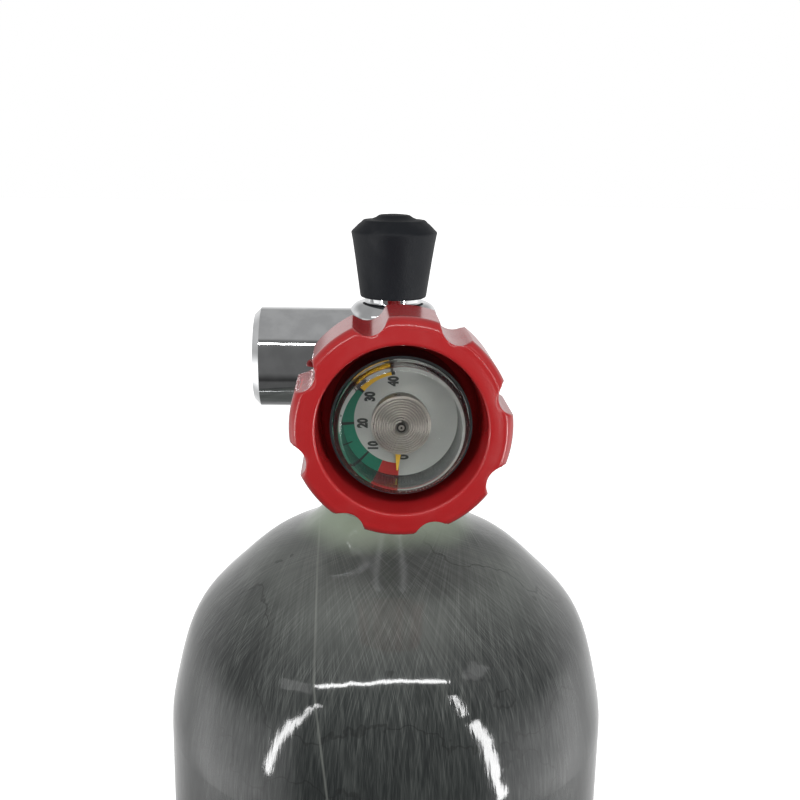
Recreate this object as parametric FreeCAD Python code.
"""Breathing-air cylinder with a gauge-in-handwheel valve, as an assembly of separate pieces.

Frame: millimetres, +Z up, origin at the centre of the bottle's flat base.
The bottle's axis is the Z axis. The handwheel's axis lies in the plane x = 0 at height wheel_z and
points towards -Y. "Forward" positions below are distances along -Y from the bottle's axis.
The outlet arm points along -X and the safety plug along +Y.
"""
import FreeCAD, Part
import math
import os

V = FreeCAD.Vector
UP = V(0, 0, 1)
FRONT = V(0, -1, 0)
LEFT = V(-1, 0, 0)

# ---- Driving dimensions: bottle ----
bottle_od = 157.0
bottle_length = 528.0         # base to the top face of the neck
glass_wall = 1.2
carbon_wall = 7.0
liner_wall = 2.2
base_flat_r = 36.0            # flat ring that the bottle stands on
base_corner_h = 44.0          # height of the rounded base corner
dome_h = 86.0                 # top of the straight side to the top of the neck
neck_thread_wall = 10.5       # liner's neck around its thread
dome_shares = [               # shares of the dome's reach and rise: full at the side, then a cone
    (1.0, 0.0), (0.96, 0.21), (0.91, 0.36), (0.84, 0.49),
    (0.60, 0.69), (0.39, 0.82), (0.14, 0.92), (0.0, 1.0),
]
neck_bare_h = 7.0             # length of neck that stands clear of the wraps
neck_wall_depth = 34.0        # length of the thick neck boss
neck_thread_r = 9.0           # M18 neck thread, as plain cylinders

# ---- Driving dimensions: valve body ----
wheel_rise = 42.0             # neck top to the handwheel's axis
stem_length = 22.0
flange_h = 6.0
barrel_r = 15.0
boss_wall = 4.0               # brass around the gland thread
barrel_top = 23.5             # above the wheel axis
shoulder_fillet = 5.0
boss_front = 44.0
outlet_r = 17.0
outlet_rise = 3.75            # outlet axis above the wheel axis
outlet_reach = 47.0
outlet_chamfer = 2.2
outlet_bore_r = 10.3          # G5/8 female thread, as a plain bore at its minor radius
outlet_bore_depth = 15.0
outlet_passage_r = 3.0
burst_drop = 22.0             # safety boss axis below the wheel axis
burst_boss_r = 9.0
burst_boss_rear = 21.0
burst_thread_r = 5.0
burst_seat_rear = 11.0        # seat of the safety disc, behind the bottle's axis
burst_meet = 4.5              # where the safety drilling meets the inlet
burst_disc_t = 0.3
burst_washer_t = 0.8
burst_plug_af = 13.0
burst_head_w = 7.0
burst_bore_r = 2.0
vent_r = 1.2
inlet_r = 2.2
tube_socket_r = 4.0
tube_socket_depth = 9.0
tube_r = 3.2
tube_bore_r = 2.2
tube_length = 38.0
filter_length = 9.0
neck_oring_d = 2.2

# ---- Driving dimensions: bumper ----
collar_r = 9.7
collar_h = 1.4
stud_r = 4.0
stud_depth = 9.0
stud_core_h = 17.0            # part of the stud inside the rubber
stud_head_r = 7.0
stud_head_h = 3.0
bumper_bottom_r = 11.2
bumper_wide_r = 14.5
bumper_ledge_r = 10.0
bumper_top_r = 5.0
bumper_wide_h = 22.0          # bumper's bottom to its widest edge
bumper_ledge_h = 25.7
bumper_top_h = 27.7

# ---- Driving dimensions: spindles and seat ----
seat_front = 9.0              # front of the nozzle's lip
nozzle_h = 2.5
nozzle_r = 3.0
orifice_r = 1.6
lower_r = 6.95                # M14 thread, as a plain cylinder
lower_length = 15.0
lower_lift = 2.5              # travel from shut to open
slot_w = 3.2
slot_depth = 10.0
flat_depth = 1.0              # flat that lets gas past the lower spindle's thread
seat_r = 4.4
seat_sunk = 2.0
seat_gap = 0.1                # seat to nozzle when shut
upper_shaft_r = 8.5
upper_flange_step = 3.1       # thrust flange beyond the shaft
upper_flange_w = 3.0
tang_w = 3.0
square_length = 8.9
feed_r = 0.8                  # gas way through the middle of the spindles
gland_head_w = 7.0
thrust_washer_w = 1.0
oring_d = 1.6

# ---- Driving dimensions: handwheel ----
wheel_back = 57.0
wheel_front = 84.6
wheel_lobes = 8
scallop_r = 5.2
scallop_depth = 3.5
scallop_start_deg = 17.0      # first scallop, from +X towards +Z, seen from the front
wheel_edge_w = 3.0            # rounded front edge: its width, height and the cone in front of it
wheel_edge_h = 4.4
wheel_crest_drop = 0.9
rim_w = 7.3                   # wheel's recess to its outer edge
recess_gap = 3.8              # gauge case to the wheel's recess
wheel_web_w = 4.0
hub_back = 52.6
rear_pocket_wall = 3.0
hub_wall = 3.0
insert_wall = 1.5             # brass beyond the corners of the square hole
wheel_washer_t = 0.8

# ---- Driving dimensions: gauge ----
case_r = 19.7
case_wall = 0.7
case_back = 64.0
case_front = 78.5
gauge_stem_r = 4.0
gauge_stem_length = 12.0
case_hole_r = 5.0
post_r = 1.3
post_front = 79.9
dial_front = 69.7
dial_t = 0.5
carrier_wall = 2.4
pointer_t = 0.4
pointer_rise = 0.5            # dial's face to the back of the pointer
pointer_root_w = 2.6
pointer_tip_w = 0.4
coil_r = 8.6
coil_back = 71.0
coil_shoulder = 77.2          # front of the coil's straight stack
coil_front = 79.4
coil_turns = 10
coil_wire = 0.8
gasket_section = 0.9
gasket_w = 2.0
window_sunk = 2.0             # window's shoulder behind the case's rim
window_side_draft = 0.4
window_bevel = 2.0            # bevel between the window's side and its flat front
window_inner_bevel = 0.3
window_front = 83.4
pointer_margin = 3.1          # pointer's tip to the case's wall
window_wall = 1.9
zero_deg = 269.5              # dial's zero mark, from +X towards +Z, seen from the front
pointer_rest_deg = 1.8        # the empty gauge's pointer stands this far past the zero mark

# ---- Fits: radial clearances ----
running = 0.05
thread_fit = 0.05
loose = 0.3

# ---- Places worked out from the driving dimensions ----
neck_z = bottle_length
neck_r = neck_thread_r + neck_thread_wall
flange_r = neck_r - 2.5
wheel_z = neck_z + wheel_rise
side_top_z = neck_z - dome_h
glass_r = bottle_od / 2
carbon_r = glass_r - glass_wall
liner_r = carbon_r - carbon_wall
bottle_r = liner_r - liner_wall
upper_flange_r = upper_shaft_r + upper_flange_step
square_af = upper_shaft_r * math.sqrt(2) - 0.02
gland_thread_r = upper_flange_r + 1.4
boss_r = gland_thread_r + boss_wall
gland_af = 2 * boss_r - 4.0
chamber_floor = seat_front - nozzle_h
lower_back = seat_front + 1.5
lower_front = lower_back + lower_length
flange_back = lower_front + lower_lift + 3.0
gland_floor = flange_back - 1.5
gland_back = flange_back + upper_flange_w + thrust_washer_w
gland_front = boss_front + gland_head_w
square_back = gland_front + 0.6
square_front = square_back + square_length
chamber_r = lower_r + running
burst_seat = -burst_seat_rear
neck_oring_major = neck_thread_r + neck_oring_d
neck_oring_minor = neck_oring_d / 2
gland_oring_back = gland_back + 1.2
insert_front = square_front + 0.4
stem_oring_back = square_front - 3.0
bay_r = case_r - case_wall
insert_r = square_af / math.sqrt(2) + insert_wall
hub_r = insert_r + hub_wall
recess_r = case_r + recess_gap
wheel_r = recess_r + rim_w
socket_flange_r = insert_r - 0.8
dial_hole_r = coil_r - 0.2
pointer_hub_r = coil_r - 0.6
pointer_tip_r = bay_r - pointer_margin
gasket_inner_r = bay_r - gasket_section


def at(forward, rise=0.0, x=0.0):
    """A point given by its forward distance and its height above the wheel axis."""
    return V(x, -forward, wheel_z + rise)


def rod(radius, back, front, rise=0.0):
    """A cylinder along the wheel axis, between two forward distances."""
    return Part.makeCylinder(radius, front - back, at(back, rise), FRONT)


def post(radius, bottom, top):
    """A cylinder on the bottle's axis."""
    return Part.makeCylinder(radius, top - bottom, V(0, 0, bottom), UP)


def ring(outer, inner, back, front):
    """A flat ring or tube about the wheel axis."""
    return rod(outer, back, front).cut(rod(inner, back - 1, front + 1))


def prism(across_flats, back, front, sides, turn_deg=0.0, rise=0.0):
    """A regular prism along the wheel axis, such as a square or a hexagon."""
    corner_r = across_flats / 2 / math.cos(math.pi / sides)
    points = []
    for k in range(sides + 1):
        a = math.radians(turn_deg) + 2 * math.pi * k / sides
        points.append(at(back, rise + corner_r * math.sin(a), corner_r * math.cos(a)))
    face = Part.Face(Part.makePolygon(points))
    return face.extrude(FRONT * (front - back))


def turned(points):
    """A solid of revolution about the wheel axis from (radius, forward) points."""
    places = [at(forward, radius) for radius, forward in points]
    face = Part.Face(Part.makePolygon(places + places[:1]))
    return face.revolve(at(0), FRONT, 360)


def wheel_oring(major_r, minor_r, forward):
    """A rubber ring about the wheel axis."""
    return Part.makeTorus(major_r, minor_r, at(forward), FRONT)


def spin(shape, degrees):
    """Turns a shape about the wheel axis, from +X towards +Z as seen from the front."""
    turned_shape = shape.copy()
    turned_shape.rotate(at(0), FRONT, degrees)
    return turned_shape


def shell_profile(radius, inset):
    """Half outline of the bottle, moved inwards by inset: a closed face in the plane y = 0.

    The base corner is a quarter ellipse from the flat base to the side. The dome is a conical
    spline that leaves the side smoothly and meets the neck boss.
    """
    base_z = inset
    corner_z = base_corner_h
    flat_r = base_flat_r - 0.3 * inset
    top_z = neck_z - neck_bare_h - inset
    corner = [V(flat_r, 0, base_z)]
    steps = 6
    for k in range(1, steps):
        a = math.pi / 2 * k / steps
        corner.append(V(flat_r + (radius - flat_r) * math.sin(a), 0,
                        corner_z - (corner_z - base_z) * math.cos(a)))
    corner.append(V(radius, 0, corner_z))
    side_curve = Part.BSplineCurve()
    side_curve.interpolate(corner, InitialTangent=V(1, 0, 0), FinalTangent=V(0, 0, 1))
    dome_top_r = neck_r + 1.0
    rise = top_z - side_top_z
    reach = radius - dome_top_r
    dome = []
    for across, up in dome_shares:
        dome.append(V(dome_top_r + reach * across, 0, side_top_z + rise * up))
    dome_curve = Part.BSplineCurve()
    dome_curve.interpolate(dome, InitialTangent=V(0, 0, 1), FinalTangent=V(-1, 0, 0.55))
    edges = [
        Part.LineSegment(V(0, 0, base_z), corner[0]).toShape(),
        side_curve.toShape(),
        Part.LineSegment(corner[-1], dome[0]).toShape(),
        dome_curve.toShape(),
        Part.LineSegment(dome[-1], V(0, 0, top_z)).toShape(),
        Part.LineSegment(V(0, 0, top_z), V(0, 0, base_z)).toShape(),
    ]
    return Part.Face(Part.Wire(edges))


def bottle_body(radius, inset):
    """The bottle's outer form for one layer, as a solid of revolution about Z."""
    return shell_profile(radius, inset).revolve(V(0, 0, 0), UP, 360)


def liner():
    """Aluminium liner: a closed shell with a thick threaded neck."""
    inset = glass_wall + carbon_wall
    outer = bottle_body(liner_r, inset)
    outer = outer.fuse(post(neck_r, neck_z - neck_wall_depth, neck_z))
    hollow = bottle_body(bottle_r, inset + 3 * liner_wall)
    hollow = hollow.common(post(bottle_od, 0, neck_z - neck_wall_depth + 8))
    return outer.cut(hollow).cut(post(neck_thread_r + thread_fit, neck_z - neck_wall_depth - 12, neck_z + 1))


def wrap(radius, inset, inner_radius, inner_inset):
    """One wound layer, open only where the liner's neck comes through."""
    layer = bottle_body(radius, inset).cut(bottle_body(inner_radius, inner_inset))
    return layer.cut(post(neck_r, neck_z - neck_wall_depth - 12, neck_z + 1))


def carbon_wrap():
    return wrap(carbon_r, glass_wall, liner_r, glass_wall + carbon_wall)


def glass_wrap():
    return wrap(glass_r, 0.0, carbon_r, glass_wall)


def valve_body():
    """Chromed brass body: stem, flange, barrel, front boss, outlet arm and safety boss."""
    barrel = post(barrel_r, neck_z, wheel_z + barrel_top)
    rim = [edge for edge in barrel.Edges if edge.BoundBox.ZMin > wheel_z + barrel_top - 0.01]
    barrel = barrel.makeFillet(shoulder_fillet, rim)
    flange = post(flange_r, neck_z, neck_z + flange_h)
    stem = post(neck_thread_r, neck_z - stem_length, neck_z)
    boss = rod(boss_r, 0, boss_front)
    arm = Part.makeCylinder(outlet_r, outlet_reach, at(0, outlet_rise), LEFT)
    end = [edge for edge in arm.Edges if edge.BoundBox.XMax < 0.01 - outlet_reach]
    arm = arm.makeChamfer(outlet_chamfer, end)
    safety = rod(burst_boss_r, -burst_boss_rear, 0, -burst_drop)
    body = barrel.multiFuse([flange, stem, boss, arm, safety])

    outlet_mouth = at(0, outlet_rise, -outlet_reach - 1)
    holes = [
        rod(chamber_r, chamber_floor, boss_front + 1).cut(rod(nozzle_r, chamber_floor, seat_front)),
        rod(gland_thread_r + thread_fit, gland_floor, boss_front + 1),
        rod(orifice_r, -2.0, seat_front + 1),
        Part.makeCylinder(outlet_bore_r, outlet_bore_depth + 1, outlet_mouth, V(1, 0, 0)),
        Part.makeCylinder(outlet_passage_r, outlet_reach + 1, outlet_mouth, V(1, 0, 0)),
        post(stud_r + thread_fit, wheel_z + barrel_top - stud_depth, wheel_z + barrel_top + 1),
        post(tube_socket_r + thread_fit, neck_z - stem_length - 1, neck_z - stem_length + tube_socket_depth),
        slanted_inlet(),
        rod(burst_thread_r + thread_fit, -burst_boss_rear - 1, burst_seat, -burst_drop),
        rod(orifice_r, burst_seat - 1, burst_meet, -burst_drop),
    ]
    for hole in holes:
        body = body.cut(hole)
    return body.cut(Part.makeTorus(neck_oring_major, neck_oring_minor + running, V(0, 0, neck_z), UP))


def slanted_inlet():
    """Inlet drilling from the stem's socket up to the chamber in front of the nozzle's floor."""
    start = V(0, 0, neck_z - stem_length + tube_socket_depth - 1)
    end = at(seat_front - nozzle_h / 2 + 0.6)
    way = end - start
    return Part.makeCylinder(inlet_r, way.Length, start, way)


def neck_oring():
    """Square-cut seal that lies in half-round grooves of the flange, flat on the neck."""
    seal = Part.makeTorus(neck_oring_major, neck_oring_minor, V(0, 0, neck_z), UP)
    return seal.common(post(flange_r, neck_z, neck_z + flange_h))


def dip_tube():
    """Tube that keeps water and dirt out of the valve when the bottle is upside down."""
    top = neck_z - stem_length + tube_socket_depth - 1
    bottom = neck_z - stem_length - tube_length
    tube = post(tube_socket_r, neck_z - stem_length, top)
    tube = tube.fuse(post(tube_r, bottom, neck_z - stem_length))
    return tube.cut(post(tube_bore_r, bottom - 1, top + 1))


def inlet_filter():
    """Sintered thimble pushed into the tube's lower end."""
    bottom = neck_z - stem_length - tube_length
    filter_body = post(tube_r, bottom - filter_length, bottom)
    filter_body = filter_body.fuse(post(tube_bore_r, bottom, bottom + 4))
    hollow = post(tube_bore_r - 0.8, bottom - filter_length + 1.5, bottom + 5)
    return filter_body.cut(hollow)


def bumper_stud():
    """Stud with the collar that the rubber bumper is moulded to."""
    base = wheel_z + barrel_top
    stud = post(stud_r, base - stud_depth + 0.5, base)
    collar = post(collar_r, base, base + collar_h)
    core = post(stud_r, base + collar_h, base + collar_h + stud_core_h)
    core_top = base + collar_h + stud_core_h
    head = post(stud_head_r, core_top - stud_head_h, core_top)
    return stud.multiFuse([collar, core, head])


def bumper():
    """Rubber bumper: a cone that widens upwards, with a sloped and stepped top."""
    base = wheel_z + barrel_top + collar_h
    outline = [
        V(0, 0, base),
        V(bumper_bottom_r, 0, base),
        V(bumper_wide_r, 0, base + bumper_wide_h),
        V(bumper_ledge_r + 0.9, 0, base + bumper_ledge_h),
        V(bumper_ledge_r - 1.0, 0, base + bumper_ledge_h + 0.3),
        V(bumper_top_r + 0.8, 0, base + bumper_top_h - 0.4),
        V(bumper_top_r - 0.3, 0, base + bumper_top_h),
        V(0, 0, base + bumper_top_h + 0.3),
    ]
    face = Part.Face(Part.makePolygon(outline + outline[:1]))
    rubber = face.revolve(V(0, 0, 0), UP, 360)
    return rubber.cut(bumper_stud())


def burst_disc():
    return rod(burst_thread_r, burst_seat - burst_disc_t, burst_seat, -burst_drop)


def burst_washer():
    back = burst_seat - burst_disc_t - burst_washer_t
    front = burst_seat - burst_disc_t
    washer = rod(burst_thread_r, back, front, -burst_drop)
    return washer.cut(rod(burst_bore_r, back - 1, front + 1, -burst_drop))


def burst_plug():
    """Hexagon plug that clamps the safety disc, with a cross hole that vents through two flats."""
    front = burst_seat - burst_disc_t - burst_washer_t
    head_front = -burst_boss_rear - 0.2
    head_back = head_front - burst_head_w
    plug = rod(burst_thread_r, head_front, front, -burst_drop)
    plug = plug.fuse(prism(burst_plug_af, head_back, head_front, 6, 30.0, -burst_drop))
    vent_s = head_front - burst_head_w / 2
    plug = plug.cut(rod(burst_bore_r, vent_s - vent_r - 0.5, front + 1, -burst_drop))
    start = at(vent_s, -burst_drop, -burst_plug_af)
    return plug.cut(Part.makeCylinder(vent_r, 2 * burst_plug_af, start, V(1, 0, 0)))


def gland_nut():
    """Bonnet nut: thread inside the boss, hexagon head outside."""
    nut = rod(gland_thread_r, gland_back, boss_front)
    head = prism(gland_af, boss_front + 0.05, gland_front, 6)
    head = head.common(turned([
        (0, boss_front), (gland_af, boss_front), (gland_af, gland_front - 1.6),
        (gland_af / 2, gland_front + 0.01), (0, gland_front + 0.01)]))
    nut = nut.fuse(rod(gland_thread_r, gland_back, gland_front - 1)).fuse(head)
    groove_front = gland_oring_back + oring_d + 0.4
    groove = ring(gland_thread_r + 1, gland_thread_r - oring_d, gland_oring_back, groove_front)
    return nut.cut(rod(upper_shaft_r + running, gland_back - 1, gland_front + 1)).cut(groove)


def gland_oring():
    return wheel_oring(gland_thread_r - oring_d / 2, oring_d / 2 - 0.01, gland_oring_back + oring_d / 2 + 0.2)


def gland_washer():
    back = flange_back + upper_flange_w
    return ring(upper_flange_r, upper_shaft_r + running, back + 0.02, back + thrust_washer_w - 0.02)


def oring_places():
    """Forward distances of the upper spindle's two seal grooves."""
    first = gland_back + 3.0
    return [first, gland_front - 5.0]


def upper_spindle():
    """Hollow shaft: tang, thrust flange, sealed journal and square end for the wheel."""
    tang_back = lower_back + slot_bottom_gap() + lower_lift + loose
    shaft = rod(upper_shaft_r, flange_back, square_back)
    flange = rod(upper_flange_r, flange_back, flange_back + upper_flange_w)
    square = prism(square_af, square_back, square_front, 4, 45)
    tang = Part.makeBox(2 * lower_r - 4, flange_back - tang_back, tang_w)
    tang.translate(V(2 - lower_r, -flange_back, wheel_z - tang_w / 2))
    spindle = shaft.multiFuse([flange, square, tang])
    stem_end = square_front - gauge_stem_length
    spindle = spindle.cut(rod(gauge_stem_r + thread_fit, stem_end - 2, square_front + 1))
    spindle = spindle.cut(rod(feed_r, tang_back - 1, square_front))
    for forward in oring_places():
        half_w = oring_d / 2 + 0.2
        groove = ring(upper_shaft_r + 1, upper_shaft_r - oring_d, forward - half_w, forward + half_w)
        spindle = spindle.cut(groove)
    return spindle


def slot_bottom_gap():
    """Distance from the lower spindle's back face to the bottom of its slot."""
    return lower_length - slot_depth


def spindle_orings():
    seals = []
    for forward in oring_places():
        seals.append(wheel_oring(upper_shaft_r - oring_d / 2, oring_d / 2 - 0.01, forward))
    return Part.makeCompound(seals)


def lower_spindle():
    """Seat carrier: threaded outside with one flat, slotted in front, hollowed behind for the seat."""
    spindle = rod(lower_r, lower_back, lower_front)
    slot = Part.makeBox(4 * lower_r, slot_depth + 1, slot_w)
    slot.translate(V(-2 * lower_r, -lower_front - 1, wheel_z - slot_w / 2))
    recess = rod(seat_r + thread_fit, lower_back - 1, lower_back + seat_sunk)
    gas_way = Part.makeBox(4 * lower_r, lower_length + 2, lower_r)
    gas_way.translate(V(-2 * lower_r, -lower_front - 1, wheel_z - 2 * lower_r + flat_depth))
    return spindle.cut(slot).cut(recess).cut(gas_way)


def seat_insert():
    return rod(seat_r, seat_front + seat_gap, lower_back + seat_sunk)


def handwheel():
    """Lobed wheel: a cup in front for the gauge, a hub on a web and a hollow rear."""
    rim_back = wheel_front - wheel_edge_h
    wheel = turned([
        (0, wheel_back), (wheel_r - 1.0, wheel_back), (wheel_r, wheel_back + 1.0),
        (wheel_r, rim_back), (0, rim_back)])
    wheel = wheel.fuse(wheel_rim())
    centre_r = wheel_r - scallop_depth + scallop_r
    bite = Part.makeCylinder(scallop_r, wheel_front, at(wheel_back - 1, 0, centre_r), FRONT)
    for k in range(wheel_lobes):
        wheel = wheel.cut(spin(bite, scallop_start_deg + 360.0 * k / wheel_lobes))
    recess_back = case_back - 1.0
    wheel = wheel.cut(turned([
        (0, recess_back), (recess_r - 1.0, recess_back), (recess_r, wheel_front - 1.0),
        (recess_r + 0.6, wheel_front + 0.01), (0, wheel_front + 0.01)]))
    web_back = recess_back - wheel_web_w
    pocket_r = wheel_r - scallop_depth - rear_pocket_wall
    wheel = wheel.cut(ring(pocket_r, hub_r, wheel_back - 1, web_back))
    wheel = wheel.fuse(ring(hub_r, insert_r, hub_back, web_back + 1))
    return wheel.cut(rod(insert_r, hub_back - 1, case_back))


def wheel_rim():
    """The wheel's front rim: a rounded outer edge, then a shallow cone up to the recess."""
    rim_back = wheel_front - wheel_edge_h
    rim_crest = wheel_front - wheel_crest_drop
    outer = at(rim_back, wheel_r)
    crest = at(rim_crest, wheel_r - wheel_edge_w)
    inner = at(wheel_front, recess_r + 0.6)
    bulge = math.sqrt(0.5)
    middle = at(rim_back + (rim_crest - rim_back) * bulge, wheel_r - wheel_edge_w * (1 - bulge))
    edges = [
        Part.LineSegment(at(rim_back), outer).toShape(),
        Part.Arc(outer, middle, crest).toShape(),
        Part.LineSegment(crest, inner).toShape(),
        Part.LineSegment(inner, at(wheel_front)).toShape(),
        Part.LineSegment(at(wheel_front), at(rim_back)).toShape(),
    ]
    return Part.Face(Part.Wire(edges)).revolve(at(0), FRONT, 360)


def wheel_insert():
    """Brass bush with a square hole, moulded into the wheel's hub."""
    bush = rod(insert_r, hub_back, insert_front)
    hole = prism(square_af + 2 * running, hub_back - 1, insert_front + 1, 4, 45)
    return bush.cut(hole)


def wheel_washer():
    return ring(insert_r - 0.3, gauge_stem_r + 0.3, insert_front, insert_front + wheel_washer_t)


def gauge_socket():
    """Brass stem, flange and centre post of the gauge, with a fine bore to feed the coil."""
    flange_back_s = insert_front + wheel_washer_t
    socket = rod(socket_flange_r, flange_back_s, case_back)
    stem = rod(gauge_stem_r, square_front - gauge_stem_length, flange_back_s)
    column = rod(case_hole_r, case_back, case_back + case_wall)
    shaft = rod(post_r, case_back, post_front)
    socket = socket.multiFuse([stem, column, shaft])
    groove = ring(gauge_stem_r + 1, gauge_stem_r - 1.0, stem_oring_back, stem_oring_back + 1.4)
    feed = rod(feed_r, square_front - gauge_stem_length - 1, post_front - 1.0)
    return socket.cut(groove).cut(feed)


def stem_oring():
    return wheel_oring(gauge_stem_r - 0.5, 0.5, stem_oring_back + 0.7)


def gauge_case():
    """Open cup that holds the whole gauge."""
    cup = rod(case_r, case_back, case_front)
    cup = cup.cut(rod(case_r - case_wall, case_back + case_wall, case_front + 1))
    return cup.cut(rod(case_hole_r, case_back - 1, case_back + 2))


def dial_carrier():
    return ring(bay_r, bay_r - carrier_wall, case_back + case_wall, dial_front - dial_t)


def gauge_dial():
    return ring(bay_r, dial_hole_r, dial_front - dial_t, dial_front)


def gauge_coil():
    """Coiled tube: a straight stack of turns that closes to the post in a shallow cone.

    The turns are rings of one closed body, each a full bead wide.
    """
    bead = (coil_shoulder - coil_back) / coil_turns
    outline = [(post_r, coil_back + bead / 2)]
    outline.append((coil_r - coil_wire, coil_back + 0.1))
    for k in range(coil_turns):
        outline.append((coil_r, coil_back + bead * (k + 0.3)))
        outline.append((coil_r, coil_back + bead * (k + 0.7)))
        outline.append((coil_r - 0.25, coil_back + bead * (k + 1)))
    front_steps = coil_turns
    pitch = (coil_r - 0.6 - post_r) / front_steps
    for k in range(front_steps):
        share = (k + 0.5) / front_steps
        r = coil_r - 0.6 - pitch * (k + 0.5)
        s = coil_shoulder + (coil_front - coil_shoulder) * share
        outline.append((r + pitch * 0.25, s + 0.15))
        outline.append((r - pitch * 0.25, s + 0.15))
        outline.append((r - pitch * 0.5, s - 0.1))
    outline[-1] = (post_r, coil_front - 0.1)
    outline.append((post_r, coil_front - 1.0))
    outline.append((coil_r - 2 * coil_wire, coil_shoulder - 1.4))
    outline.append((coil_r - 2 * coil_wire, coil_back + bead * 2))
    outline.append((post_r, coil_back + bead * 2))
    return turned(outline)


def gauge_pointer():
    """Flat disc that turns on the post under the coil, with one long narrow triangle."""
    back = dial_front + pointer_rise
    disc = ring(pointer_hub_r, post_r + running, back, back + pointer_t)
    points = [
        at(back, pointer_root_w / 2, pointer_hub_r - 1.0),
        at(back, pointer_tip_w / 2, pointer_tip_r),
        at(back, -pointer_tip_w / 2, pointer_tip_r),
        at(back, -pointer_root_w / 2, pointer_hub_r - 1.0),
    ]
    arm = Part.Face(Part.makePolygon(points + points[:1])).extrude(FRONT * pointer_t)
    return spin(disc.fuse(arm), zero_deg - pointer_rest_deg)


def window_gasket():
    return ring(bay_r, gasket_inner_r, dial_front, dial_front + gasket_w)


def gauge_window():
    """Thick clear cap inside the case's rim: a lip on the seal, a side, a bevel and a flat front."""
    back = dial_front + gasket_w
    inner_r = bay_r - window_wall
    inner_front = window_front - window_wall
    side_r = bay_r - window_side_draft
    return turned([
        (inner_r, back), (bay_r, back), (bay_r, case_front - window_sunk),
        (side_r, case_front - window_sunk + window_side_draft),
        (side_r, window_front - window_bevel), (side_r - window_bevel, window_front),
        (0, window_front), (0, inner_front), (inner_r - window_inner_bevel, inner_front),
        (inner_r, inner_front - window_inner_bevel)])


NODES = {
    "liner": liner,
    "carbon_wrap": carbon_wrap,
    "glass_wrap": glass_wrap,
    "valve_body": valve_body,
    "neck_oring": neck_oring,
    "dip_tube": dip_tube,
    "inlet_filter": inlet_filter,
    "bumper_stud": bumper_stud,
    "bumper": bumper,
    "burst_disc": burst_disc,
    "burst_washer": burst_washer,
    "burst_plug": burst_plug,
    "gland_nut": gland_nut,
    "gland_oring": gland_oring,
    "gland_washer": gland_washer,
    "upper_spindle": upper_spindle,
    "spindle_orings": spindle_orings,
    "lower_spindle": lower_spindle,
    "seat_insert": seat_insert,
    "handwheel": handwheel,
    "wheel_insert": wheel_insert,
    "wheel_washer": wheel_washer,
    "gauge_socket": gauge_socket,
    "stem_oring": stem_oring,
    "gauge_case": gauge_case,
    "dial_carrier": dial_carrier,
    "gauge_dial": gauge_dial,
    "gauge_coil": gauge_coil,
    "gauge_pointer": gauge_pointer,
    "window_gasket": window_gasket,
    "gauge_window": gauge_window,
}

os.makedirs("parts", exist_ok=True)
for name, make in NODES.items():
    shape = make()
    solids = len(shape.Solids)
    print(f"{name:16s} solids {solids} valid {shape.isValid()} volume {shape.Volume / 1000:9.2f} cm3")
    shape.exportStep(f"parts/{name}.step")
